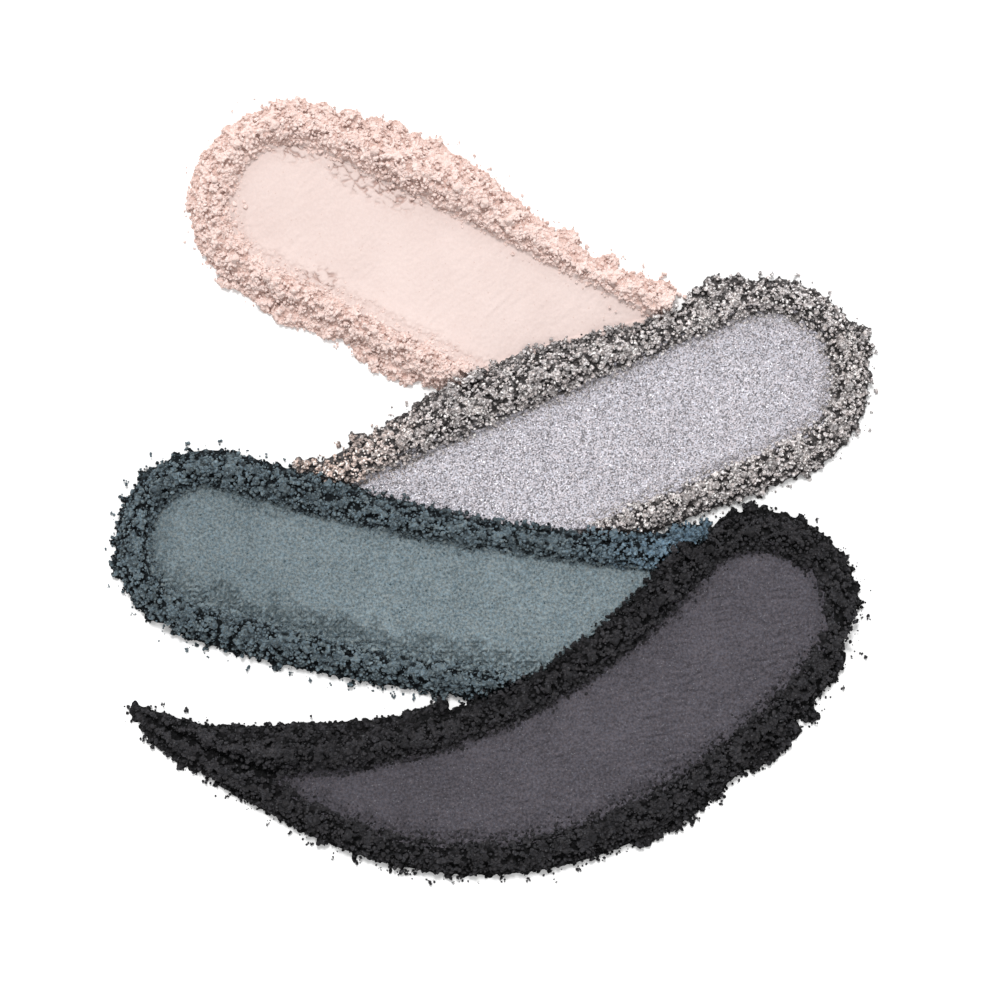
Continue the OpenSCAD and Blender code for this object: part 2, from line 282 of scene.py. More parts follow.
# A shimmering powder: every grain is a flake with its own brightness, partly its own tone and partly
# a painted glint, and the flashing ones outside the painted shade take a painted highlight colour and some metal.
def shimmerPowder(name, s):
    material = newMaterial(name)
    tree = material.node_tree
    link = tree.links.new
    shader = shaderOf(material)
    shader.inputs["Roughness"].default_value = s["roughness"]
    flakes = useGroup(tree, flakeGroup, {
        "Flake Scale": s["flakeScale"], "Tilt": s["tilt"], "Rarity": s["rarity"],
        "Warm": (*s["warm"], 1), "Cool": (*s["cool"], 1)})
    grain = useGrain(tree, s)
    ramp = addNode(tree, "ShaderNodeMapRange", {"To Min": s["dimmest"], "To Max": s["brightest"]})
    link(flakes.outputs["Value"], ramp.inputs["Value"])
    tinted = multiply(tree, grain.outputs["Color"], flakes.outputs["Tint"])
    shine = multiply(tree, tinted, ramp.outputs["Result"])
    # Painted highlight: flakes flash only where the painted shade attribute is high, taking the flash colour.
    shadeAndTone = addNode(tree, "ShaderNodeAttribute", attribute_name="shadeAndTone")
    lit = addNode(tree, "ShaderNodeMath", operation="MULTIPLY")
    link(flakes.outputs["Flash"], lit.inputs[0])
    link(shadeAndTone.outputs["Fac"], lit.inputs[1])
    flash = addNode(tree, "ShaderNodeMix", {7: (*s["flash"], 1)}, data_type="RGBA")
    link(lit.outputs[0], flash.inputs["Factor"])
    link(shine, flash.inputs[6])
    link(flash.outputs[2], shader.inputs["Base Color"])
    metal = addNode(tree, "ShaderNodeMath", {1: s["metal"]}, operation="MULTIPLY")
    link(lit.outputs[0], metal.inputs[0])
    link(metal.outputs[0], shader.inputs["Metallic"])
    link(flakes.outputs["Normal"], shader.inputs["Normal"])
    return material


# For teal and charcoal the crumbled colours are darker than the pressed ones of the same powder: partly painted
# shade among the crumbs and a painted sheen on the pressed bed.
rosePressed = {
    "light": (0.67, 0.56, 0.53), "dark": (0.60, 0.49, 0.46), "hollowShade": (0.44, 0.31, 0.275),
    "patchScale": 160, "grainScale": 4000, "patchShare": 0.45, "gloss": 0.25, "warm": (1, 0.985, 0.975),
    "cool": (1, 1, 1), "speck": (0.56, 0.43, 0.39), "speckScale": 9000, "speckRarity": 0.997,
    "bump": 0.5, "bumpDepth": 0.06}
roseCrumbled = {
    "light": (0.86, 0.72, 0.68), "dark": (0.78, 0.625, 0.58), "hollowShade": (0.68, 0.515, 0.465),
    "patchScale": 500, "grainScale": 3800, "patchShare": 0.35, "gloss": 0.15, "warm": (1, 0.96, 0.94),
    "cool": (1, 1, 1), "speck": (0.80, 0.68, 0.64), "speckScale": 7500, "speckRarity": 0.93,
    "bump": 0.8, "bumpDepth": 0.2}
silverPressed = {
    "light": (0.44, 0.43, 0.465), "dark": (0.325, 0.315, 0.345), "hollowShade": (0.10, 0.095, 0.10),
    "patchScale": 250, "grainScale": 6000, "patchShare": 0.3, "roughness": 0.55, "flakeScale": 8600,
    "tilt": 0.8, "rarity": 0.985, "warm": (1.0, 0.93, 0.90), "cool": (0.93, 0.96, 1.0), "dimmest": 0.25,
    "brightest": 1.75, "flash": (0.80, 0.79, 0.84), "metal": 0.2}
silverCrumbled = {
    "light": (0.76, 0.722, 0.717), "dark": (0.30, 0.28, 0.278), "hollowShade": (0.055, 0.05, 0.05),
    "patchScale": 700, "grainScale": 3800, "patchShare": 0.3, "roughness": 0.6, "flakeScale": 6000,
    "tilt": 1.1, "rarity": 0.88, "warm": (1.0, 0.93, 0.89), "cool": (0.97, 0.98, 1.0), "dimmest": 0.4,
    "brightest": 1.5, "flash": (0.92, 0.90, 0.88), "metal": 0.25, "turned": (1.15, 0.98, 0.87),
    "turnFrom": -6, "turnTo": -16}
tealPressed = {
    "light": (0.29, 0.355, 0.385), "dark": (0.072, 0.102, 0.118), "hollowShade": (0.03, 0.045, 0.052),
    "patchScale": 220, "grainScale": 4000, "patchShare": 0.15, "gloss": 0.3, "warm": (1.09, 0.99, 0.91),
    "cool": (0.92, 1.0, 1.05), "speck": (0.05, 0.075, 0.085), "speckScale": 6500, "speckRarity": 0.996,
    "bump": 1.0, "bumpDepth": 0.25}
tealCrumbled = {
    "light": (0.215, 0.275, 0.304), "dark": (0.022, 0.033, 0.040), "hollowShade": (0.006, 0.009, 0.011),
    "patchScale": 600, "grainScale": 3800, "patchShare": 0.35, "gloss": 0.25, "warm": (1.1, 1.0, 0.92),
    "cool": (0.9, 1.0, 1.1), "speck": (0.15, 0.20, 0.23), "speckScale": 7500, "speckRarity": 0.97,
    "bump": 0.8, "bumpDepth": 0.2, "turned": (1.15, 1.32, 1.5), "turnFrom": 8, "turnTo": 17}
charcoalPressed = {
    "light": (0.106, 0.1015, 0.115), "dark": (0.032, 0.0307, 0.0355), "hollowShade": (0.016, 0.015, 0.017),
    "patchScale": 260, "grainScale": 4200, "patchShare": 0.15, "gloss": 0.3, "warm": (1.08, 0.97, 0.95),
    "cool": (0.95, 0.98, 1.07), "speck": (0.14, 0.137, 0.152), "speckScale": 10000, "speckRarity": 0.992,
    "bump": 0.8, "bumpDepth": 0.12}
charcoalCrumbled = {
    "light": (0.055, 0.053, 0.058), "dark": (0.008, 0.0077, 0.0087), "hollowShade": (0.004, 0.004, 0.0045),
    "patchScale": 600, "grainScale": 3800, "patchShare": 0.35, "gloss": 0.25, "warm": (1.05, 1.0, 0.95),
    "cool": (0.95, 1.0, 1.05), "speck": (0.07, 0.07, 0.075), "speckScale": 7500, "speckRarity": 0.98,
    "bump": 0.8, "bumpDepth": 0.2}


def objectFrom(bm, name):
    mesh = bpy.data.meshes.new(name)
    bm.to_mesh(mesh)
    bm.free()
    thing = bpy.data.objects.new(name, mesh)
    bpy.context.scene.collection.objects.link(thing)
    return thing


# Puts the result of the modifiers in place of the mesh.
def applyModifiers(thing):
    bpy.context.view_layer.update()
    seen = thing.evaluated_get(bpy.context.evaluated_depsgraph_get())
    made = bpy.data.meshes.new_from_object(seen)
    old = thing.data
    thing.modifiers.clear()
    thing.data = made
    bpy.data.meshes.remove(old)


def remesh(thing, voxel, smooth=True):
    skin = thing.modifiers.new("skin", "REMESH")
    skin.mode = "VOXEL"
    skin.voxel_size = voxel * mm
    skin.use_smooth_shade = smooth


# Pushes a mesh about along its normals: cloudy, or in packed cells with sharp creases between them.
def roughen(thing, name, size, depth, cells=False, group=""):
    texture = bpy.data.textures.new(name, "VORONOI" if cells else "CLOUDS")
    texture.noise_scale = size * mm
    if cells:
        texture.weight_1 = -1
        texture.weight_2 = 1
        texture.noise_intensity = 2
    else:
        texture.noise_depth = 2
    push = thing.modifiers.new(name, "DISPLACE")
    push.texture = texture
    push.texture_coords = "LOCAL"
    push.vertex_group = group
    push.strength = depth * mm
    push.mid_level = 0.3 if cells else 0.5


# Cuts off what lies below the table and closes the underside with one flat face.
def cutAtTable(thing):
    bm = bmesh.new()
    bm.from_mesh(thing.data)
    whole = bm.verts[:] + bm.edges[:] + bm.faces[:]
    bmesh.ops.bisect_plane(bm, geom=whole, plane_co=(0, 0, 0), plane_no=(0, 0, 1), clear_inner=True)
    rims = [edge for edge in bm.edges if edge.is_boundary]
    bmesh.ops.holes_fill(bm, edges=rims, sides=0)
    for face in bm.faces:
        if face.normal.z < -0.99 and face.calc_center_median().z < 0.001 * mm:
            face.smooth = False
    bm.to_mesh(thing.data)
    bm.free()


def blurred(grid, kernel):
    for axis in (0, 1):
        grid = np.apply_along_axis(np.convolve, axis, grid, kernel, "same")
    return grid


# How each vertex stands above or below the ground round it: 0 down in the dips, 1 on the tip of a crumb.
def standingOut(mesh, reach, depth):
    points = np.empty(len(mesh.vertices) * 3, np.float32)
    mesh.vertices.foreach_get("co", points)
    points = points.reshape(-1, 3) / mm
    cell = 0.1
    columns = tuple(((points[:, :2] - points[:, :2].min(axis=0)) / cell).astype(int).T)
    tops = np.zeros((columns[0].max() + 1, columns[1].max() + 1))
    np.maximum.at(tops, columns, points[:, 2])
    kernel = np.exp(-0.5 * (np.arange(-12, 13) * cell / reach) ** 2)
    ground = blurred(tops, kernel) / np.maximum(blurred((tops > 0) * 1.0, kernel), 1e-6)
    share = np.clip(0.5 + (points[:, 2] - ground[columns]) / depth, 0, 1)
    return share * share * (3 - 2 * share)


# Writes each vertex's share of its own colour against the painted shade colour, 1 all its own, 0 all
# shade: painted shade in the hollows and cracks, and random tone on the clumps and crumbs.
def paintShadeAndTone(thing, shadeShares):
    painted = thing.data.attributes.new("shadeAndTone", "FLOAT", "POINT")
    painted.data.foreach_set("value", np.asarray(shadeShares, np.float32))


def treeOf(names):
    bm = bmesh.new()
    for name in names:
        bm.from_mesh(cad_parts[name].data)
    tree = BVHTree.FromBMesh(bm)
    bm.free()
    return tree


strokeTrees = {shade: treeOf([f"{shade}_{kind}" for kind in solidKinds]) for shade in shades}
bedTrees = {shade: treeOf([f"{shade}_bed"]) for shade in shades}
ridgeTrees = {shade: treeOf([f"{shade}_{kind}" for kind in solidKinds[1:]]) for shade in shades}
bedTops = {}  # the made beds, for what lies on them


def earlier(shade):
    return shades[:shades.index(shade)]


def later(shade):
    return shades[shades.index(shade) + 1:]


# Vertices on the upright faces by which a piece meets its neighbours, with the way out of the piece there.
def waysOut(bm, meets):
    met = {vert for vert in bm.verts if meets(vert.co)}
    ways = {}
    for vert in met:
        walls = [face.normal for face in vert.link_faces
                 if abs(face.normal.z) < 0.1 and all(corner in met for corner in face.verts)]
        if walls:
            ways[vert] = sum(walls, Vector()).normalized()
    return ways


# The CAD piece as a closed mesh, carried on in a slope under the strokes that cut it, a little way
# into the pieces beside it, and down below the table.
def blankOf(shade, kind, under, lap, below=0.5):
    bm = bmesh.new()
    bm.from_mesh(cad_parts[f"{shade}_{kind}"].data)
    bmesh.ops.remove_doubles(bm, verts=bm.verts, dist=0.001 * mm)
    touching = 0.012 * mm
    beside = treeOf([f"{shade}_{other}" for other in solidKinds[1:] if other != kind])

    def meetsLater(spot):
        ground = Vector((spot.x, spot.y, 0))
        return any(strokeTrees[other].find_nearest(ground, touching)[0] for other in later(shade))

    def meetsBeside(spot):
        return beside.find_nearest(spot, touching)[0] is not None

    cuts = waysOut(bm, meetsLater)
    joints = waysOut(bm, meetsBeside)
    for vert, way in cuts.items():
        vert.co += way * under * mm
        vert.co.z *= 0.4
    for vert, way in joints.items():
        vert.co += way * lap * mm
    for vert in bm.verts:
        if vert.co.z < 0.001 * mm:
            vert.co.z = -below * mm
    return bm


# A few uneven lumps, each a ball of unit size that has been pushed about.
def lumpShapes(rng, count, detail, smooth=True):
    shapes = []
    for i in range(count):
        bm = bmesh.new()
        bmesh.ops.create_icosphere(bm, subdivisions=detail, radius=1)
        for vert in bm.verts:
            vert.co *= rng.uniform(0.74, 1.22)
        for face in bm.faces:
            face.smooth = smooth
        mesh = bpy.data.meshes.new(f"lump{detail}{i}")
        bm.to_mesh(mesh)
        bm.free()
        flat = np.empty(len(mesh.vertices) * 3, np.float32)
        mesh.vertices.foreach_get("co", flat)
        shapes.append((mesh, flat.reshape(-1, 3)))
    return shapes


def addLumps(bm, shapes, centres, radii, rng):
    turns = rng.uniform(0, 2 * math.pi, (len(radii), 3))
    squash = rng.uniform(0.75, 1.2, (len(radii), 3))
    picks = rng.integers(0, len(shapes), len(radii))
    for centre, radius, turn, wide, pick in zip(centres, radii, turns, squash, picks):
        mesh, points = shapes[pick]
        turned = np.array(Euler(turn).to_matrix(), np.float32)
        placed = (points * wide * radius) @ turned + centre
        mesh.vertices.foreach_set("co", placed.astype(np.float32).ravel())
        bm.from_mesh(mesh, face_normals=False)


# Lumps that lie partly in the table are lifted on to it, and those deep in it are left out.
def onTable(centres, radii):
    kept = centres[:, 2] > -0.6 * radii
    centres, radii = centres[kept], radii[kept]
    centres[:, 2] = np.maximum(centres[:, 2], 0.45 * radii)
    return centres, radii


def dropShapes(shapes):
    for mesh, _ in shapes:
        bpy.data.meshes.remove(mesh)


# Random points on the upward faces of a mesh, with the normals there.
def pointsOn(bm, perMm2, rng, steepest=-0.2):
    bmesh.ops.triangulate(bm, faces=bm.faces)
    bm.normal_update()
    faces = [face for face in bm.faces if face.normal.z > steepest and face.calc_center_median().z > 0]
    area = np.array([face.calc_area() for face in faces]) / mm ** 2
    count = int(area.sum() * perMm2)
    corners = np.array([[list(v.co) for v in face.verts] for face in faces])
    normals = np.array([list(face.normal) for face in faces])
    pick = rng.choice(len(faces), count, p=area / area.sum())
    u, v = rng.random((2, count))
    flip = u + v > 1
    u[flip], v[flip] = 1 - u[flip], 1 - v[flip]
    a, b, c = corners[pick, 0], corners[pick, 1], corners[pick, 2]
    return a + (b - a) * u[:, None] + (c - a) * v[:, None], normals[pick]


# Sizes between least and most, with many more small ones than large ones.
def sizes(rng, count, least, most, power=2.0):
    return (least + (most - least) * rng.random(count) ** power) * mm


def smoothStep(t):
    t = min(1, max(0, t))
    return t * t * (3 - 2 * t)


# How much of its full size a crumb keeps near the bed, where the blade has smoothed the ridge.
def innerShare(shade, centres, reach, least):
    share = np.ones(len(centres))
    for i, centre in enumerate(centres):
        gap = bedTrees[shade].find_nearest(Vector(centre))[3] / mm
        share[i] = least + (1 - least) * smoothStep(gap / reach)
    return share


# True at the thin places of a stroke, where its bank is cut back.
def cutBack(shade, centre):
    return any(math.hypot(centre[0] / mm - x, centre[1] / mm - y) < radius
               for places in ridgesOf[shade]["thin"].values() for x, y, radius in places)


# True for the points that no later stroke covers, that keep out of the groove of a tail and off the
# thin places.
def inTheOpen(shade, kind, centres, clear=0.3, thin=()):
    facing = {"upper_ridge": "lower_ridge", "lower_ridge": "upper_ridge"}.get(kind)
    across = treeOf([f"{shade}_{facing}"]) if facing else None
    free = np.ones(len(centres), bool)
    for i, centre in enumerate(centres):
        ground = Vector((centre[0], centre[1], 0))
        if any(strokeTrees[other].find_nearest(ground, clear * mm)[0] and not cutBack(other, centre)
               for other in later(shade)):
            free[i] = False
        elif across and across.find_nearest(Vector(centre), 0.45 * mm)[0]:
            free[i] = False
        elif any(math.hypot(centre[0] / mm - x, centre[1] / mm - y) < radius for x, y, radius in thin):
            free[i] = False
    return free


# Pushes the crumbs at the foot of a bank outwards, further in some stretches than in others.
def fray(centres, normals, s, rng):
    for i in np.flatnonzero(centres[:, 2] < 0.75 * mm):
        out = np.array([normals[i][0], normals[i][1]])
        length = np.linalg.norm(out)
        if length < 0.3:
            continue
        patch = noise.noise(Vector((centres[i][0], centres[i][1], 0)) / (1.6 * mm) + Vector((0, 0, s["seed"])))
        centres[i][:2] += out / length * max(0, 0.15 + patch) * s["ragged"] * rng.random() * mm
    return centres


# Lifts lumps that would lie inside an earlier stroke on to the top of it.
def layOnEarlier(shade, centres):
    for i, centre in enumerate(centres):
        for other in earlier(shade):
            near = strokeTrees[other].find_nearest(Vector(centre), 1.2 * mm)
            if near[0] is None:
                continue
            aside = Vector((near[0].x - centre[0], near[0].y - centre[1], 0))
            into = aside.normalized() * 0.25 * mm if aside.length > 1e-7 else Vector()
            inside = near[0] + into
            top = strokeTrees[other].ray_cast(Vector((inside.x, inside.y, 0.01)), Vector((0, 0, -1)))
            if top[0] is not None and top[0].z > centre[2]:
                fade = max(0, 1 - aside.length / (1.1 * mm)) ** 0.5
                centres[i][2] += (top[0].z - centre[2]) * fade
    return centres


# More crumbs where a ridge has spilled on to an earlier stroke.
def spilled(shade, centres, times, rng):
    near = [centre for centre in centres
            if any(strokeTrees[other].find_nearest(Vector(centre), 0.9 * mm)[0] for other in earlier(shade))]
    if not near:
        return centres
    more = np.repeat(np.array(near), times, axis=0)
    more[:, :2] += rng.uniform(-0.45, 0.45, (len(more), 2)) * mm
    return np.vstack([centres, more])


# A bank of crumbled powder: clods bound into one skin, with loose crumbs and grains all over it.
def buildRidge(shade, kind, s, material):
    rng = np.random.default_rng(s["seed"] + solidKinds.index(kind))
    bm = blankOf(shade, kind, under=0.6, lap=0.4)
    for x, y, radius in s["mounds"].get(kind, []):
        place = Matrix.Translation((x * mm, y * mm, 0.1 * mm)) @ Matrix.Diagonal((1, 1, s["moundRise"], 1))
        bmesh.ops.create_icosphere(bm, subdivisions=3, radius=radius * mm, matrix=place)
    surface = bm.copy()
    clodAt, clodNormals = pointsOn(surface, s["clodPerMm2"], rng)
    crumbAt, crumbNormals = pointsOn(surface, s["crumbPerMm2"], rng)
    surface.free()
    thin = s["thin"].get(kind, [])
    free = inTheOpen(shade, kind, clodAt, 0.3, thin)
    clodAt, clodNormals = clodAt[free], clodNormals[free]
    free = inTheOpen(shade, kind, crumbAt, 0.1, thin)
    crumbAt, crumbNormals = crumbAt[free], crumbNormals[free]
    smoothShare = s["lowerShare"] if kind == "lower_ridge" else s["upperShare"]
    clodSize = sizes(rng, len(clodAt), *s["clodSize"], 1.3) / 2
    clodSize *= innerShare(shade, clodAt, s["smoothReach"], smoothShare)
    clodAt = fray(clodAt - clodNormals * clodSize[:, None] * s["clodSink"], clodNormals, s, rng)
    clodAt = layOnEarlier(shade, clodAt)
    crumbAt = fray(crumbAt - crumbNormals * rng.uniform(*s["crumbSink"], (len(crumbAt), 1)) * mm,
                   crumbNormals, s, rng)
    crumbAt = layOnEarlier(shade, spilled(shade, crumbAt, 1, rng))
    crumbSize = sizes(rng, len(crumbAt), *s["crumbSize"]) / 2
    crumbSize *= innerShare(shade, crumbAt, s["smoothReach"], smoothShare)
    # Grains stuck all over the clods and crumbs.
    hosts = np.concatenate([clodAt, crumbAt])
    hostSize = np.concatenate([clodSize, crumbSize])
    weight = hostSize ** 2
    count = int(len(crumbAt) * s["grainsPerCrumb"])
    host = rng.choice(len(hosts), count, p=weight / weight.sum())
    way = rng.normal(size=(count, 3))
    way[:, 2] = np.abs(way[:, 2])
    way /= np.linalg.norm(way, axis=1)[:, None]
    grainAt = hosts[host] + way * hostSize[host][:, None] * 0.95
    grainSize = sizes(rng, count, *s["grainSize"]) / 2
    for vert in bm.verts:
        if vert.co.z > 0.3 * mm:
            away = bedTrees[shade].find_nearest(Vector((vert.co.x, vert.co.y, 0)))[3] / mm
            vert.co.z = max(0.25 * mm, vert.co.z - s["settle"] * smoothStep(away / 1.1) * mm)
        for x, y, radius in s["thin"].get(kind, []):
            past = max(0, math.hypot(vert.co.x / mm - x, vert.co.y / mm - y) - radius)
            vert.co.z = min(vert.co.z, (1.3 * past - 0.2) * mm)
    clods = lumpShapes(rng, 5, 2, not s["crisp"])
    grains = lumpShapes(rng, 6, 1, not s["crisp"])
    bound = rng.random(len(crumbAt)) < s["boundShare"]
    addLumps(bm, clods, clodAt, clodSize, rng)
    addLumps(bm, grains, crumbAt[bound], crumbSize[bound], rng)
    name = shade + kind.title().replace("_", "")
    ridge = objectFrom(bm, name)
    remesh(ridge, s["voxel"], smooth=False)
    applyModifiers(ridge)
    cutAtTable(ridge)
    # The relief fades out towards the table, so that the foot stays flat on it.
    raised = ridge.vertex_groups.new(name="raised")
    for vert in ridge.data.vertices:
        raised.add([vert.index], smoothStep((vert.co.z / mm - 0.01) / 0.15), "REPLACE")
    roughen(ridge, name + "Lumps", s["lumpSize"], s["lumpDepth"], cells=True, group="raised")
    roughen(ridge, name + "Grit", s["gritSize"], s["gritDepth"], group="raised")
    applyModifiers(ridge)
    # What isn't bound into the bank lies loose on it.
    bm = bmesh.new()
    bm.from_mesh(ridge.data)
    addLumps(bm, grains, *onTable(crumbAt[~bound], crumbSize[~bound]), rng)
    addLumps(bm, grains, *onTable(grainAt, grainSize), rng)
    dropShapes(clods + grains)
    for vert in bm.verts:
        vert.co.z = max(vert.co.z, 0)
    bm.to_mesh(ridge.data)
    bm.free()
    # Painted shade: the hollows between the crumbs take the darker shade colour.
    paintShadeAndTone(ridge, standingOut(ridge.data, s["hollowReach"], s["hollowDepth"]))
    finishPiece(ridge, f"{shade}_{kind}", material)


# A pressed bed: it curves up into its ridges, has faint ripples across the stroke, and is cracked and
# rough in places along its edges.
def buildBed(shade, s, material):
    bm = blankOf(shade, "bed", under=0.6, lap=1.1)
    bed = objectFrom(bm, shade + "Bed")
    remesh(bed, s["voxel"])
    applyModifiers(bed)
    across = Matrix.Rotation(-math.radians(s["rippleTurn"]), 3, "Z")
    lengthwise = Matrix.Rotation(-math.radians(s["crackTurn"]), 3, "Z")
    seed = s["seed"]
    shadeShares = []
    for vert in bed.data.vertices:
        if vert.co.z < 0.3 * mm:
            shadeShares.append(1)
            continue
        spot = vert.co / mm
        ground = Vector((vert.co.x, vert.co.y, 0))
        near, _, _, gap = ridgeTrees[shade].find_nearest(ground)
        inner, _, _, beyond = bedTrees[shade].find_nearest(ground)
        beyond /= mm
        if beyond > 0.01:
            low = 0.5 + 0.5 * (inner.y - vert.co.y) / (beyond * mm)
        else:
            low = 0.5 + 0.5 * (vert.co.y - near.y) / max(gap, 1e-9)  # 1 beside the lower ridge, 0 beside the upper
        gap = 0 if beyond > 0.01 else gap / mm
        edge = 1 - smoothStep(gap / s["coveReach"])
        rise = s["cove"] * (s["upperCove"] + (1 - s["upperCove"]) * low) * edge ** 2
        along = across @ Vector((spot.x, spot.y, 0))
        ripple = Vector((along.x, along.y / s["rippleLong"], seed)) / s["rippleSize"]
        patch = 0.5 + noise.noise(Vector((spot.x, spot.y, seed)) / 3.5)
        rise += s["rippleDepth"] * patch * (noise.noise(ripple) + 0.6 * noise.noise(ripple * 2.1))
        rise += s["gritDepth"] * noise.noise(Vector((spot.x, spot.y, seed)) / s["gritSize"])
        rise += s["waveDepth"] * noise.noise(Vector((spot.x / s["waveSize"], spot.y / s["waveSize"], seed)))
        rough = low * smoothStep(1.3 - gap / s["roughReach"] + 0.8 * noise.noise(spot / 1.3))
        billow = noise.turbulence(Vector((spot.x, spot.y, seed)) / s["roughSize"], 2, True)
        rise += s["rough"] * rough * (billow - 0.4)
        # Painted shade: the bed is darker in the low parts of its rough patches here, and along its cracks further
        # down.
        crack = rough * s["roughShade"] * (1 - smoothStep(billow / 0.45))
        for x, y, reach in s["cracked"]:
            share = smoothStep(1.4 - 1.4 * math.hypot(spot.x - x, spot.y - y) / reach)
            share *= 1 - smoothStep(gap / s["crackReach"])
            if share > 0.02:
                run = lengthwise @ Vector((spot.x, spot.y, 0))
                bent = Vector((run.x / s["crackLong"], run.y, seed)) / s["flakeSize"]
                bent += 0.5 * noise.noise_vector(bent * 1.3)
                distances, points = noise.voronoi(bent)
                line = 1 - smoothStep((distances[1] - distances[0]) * s["flakeSize"] / s["crackWidth"])
                line *= smoothStep(0.85 + 1.8 * noise.noise(spot / 0.9))
                crack = max(crack, line * min(1, share * 2.2))
                rise += share * s["flakeLift"] * noise.noise(points[0] * 3.1)
        if beyond > 0.01:  # a skin on the inner slope of the ridge, which dips under the crumbs
            bank = ridgeTrees[shade].ray_cast(Vector((vert.co.x, vert.co.y, 0.02)), Vector((0, 0, -1)))[0]
            climb = (bank.z - vert.co.z) / mm + 0.05 if bank else 0
            meet = min(1, max(0, 0.5 + (climb - rise) / 0.5))
            rise = rise + (climb - rise) * meet + 0.5 * meet * (1 - meet) / 2
            start = s["skin"] * low + 0.1 + 0.35 * noise.noise(Vector((spot.x, spot.y, seed)) / 0.9)
            rise -= 0.5 * smoothStep((beyond - start) / 0.45)
        vert.co.z += (rise - crack * s["crackDepth"]) * mm
        # Painted shadow: the bed is darker in a strip under its upper ridge. Dim makes it darker towards one end
        # along x.
        dim = s["fade"] * smoothStep((s["fadeTo"] - spot.x) / s["fadeLength"])
        shadeShares.append((1 - crack * s["crackShade"]) * (1 - dim) * (1 - s["ridgeShadow"] * edge ** 3 * (1 - low)))
    bedTops[shade] = BVHTree.FromPolygons([vert.co for vert in bed.data.vertices],
                                          [face.vertices for face in bed.data.polygons])
    paintShadeAndTone(bed, shadeShares)
    cutAtTable(bed)
    finishPiece(bed, f"{shade}_bed", material)


# The balls of a CAD node, as centres and radii.
def ballsOf(node):
    bm = bmesh.new()
    bm.from_mesh(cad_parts[node].data)
    bmesh.ops.remove_doubles(bm, verts=bm.verts, dist=0.001 * mm)
    left = set(bm.verts)
    balls = []
    while left:
        group, stack = [], [left.pop()]
        while stack:
            vert = stack.pop()
            group.append(vert.co.copy())
            for edge in vert.link_edges:
                other = edge.other_vert(vert)
                if other in left:
                    left.discard(other)
                    stack.append(other)
        low = Vector([min(co[i] for co in group) for i in range(3)])
        high = Vector([max(co[i] for co in group) for i in range(3)])
        balls.append(((low + high) / 2, (high.x - low.x) / 2))
    bm.free()
    return sorted(balls, key=lambda ball: (round(ball[0].x, 6), round(ball[0].y, 6)))


# Clumps of stuck crumbs, one in the place of each ball.
def buildClumps(shade, s, material):
    rng = np.random.default_rng(s["seed"])
    bm = bmesh.new()
    lumps = lumpShapes(rng, 5, 2)
    for centre, radius in ballsOf(f"{shade}_clumps"):
        count = s["crumbsPerClump"]
        way = rng.normal(size=(count, 3))
        way /= np.linalg.norm(way, axis=1)[:, None]
        centre = np.array(centre)
        centre[2] -= radius * s["sink"]
        core = radius * s["coreShare"]
        spots = centre + way * core
        parts = radius * rng.uniform(0.25, 0.5, count)
        addLumps(bm, lumps, np.vstack([centre, spots]), np.append(core, parts), rng)
    dropShapes(lumps)
    clumps = objectFrom(bm, shade + "Clumps")
    remesh(clumps, s["voxel"], smooth=False)
    roughen(clumps, shade + "ClumpGrit", 0.3, 0.1)
    applyModifiers(clumps)
    paintShadeAndTone(clumps, [0.55 + 0.45 * noise.noise(vert.co / (0.3 * mm)) for vert in clumps.data.vertices])
    finishPiece(clumps, f"{shade}_clumps", material)


allTree = treeOf([f"{shade}_{kind}" for shade in shades for kind in solidKinds])


def heightAt(x, y):
    hit = allTree.ray_cast(Vector((x, y, 0.02)), Vector((0, 0, -1)))
    return hit[0].z if hit[0] is not None else 0.0


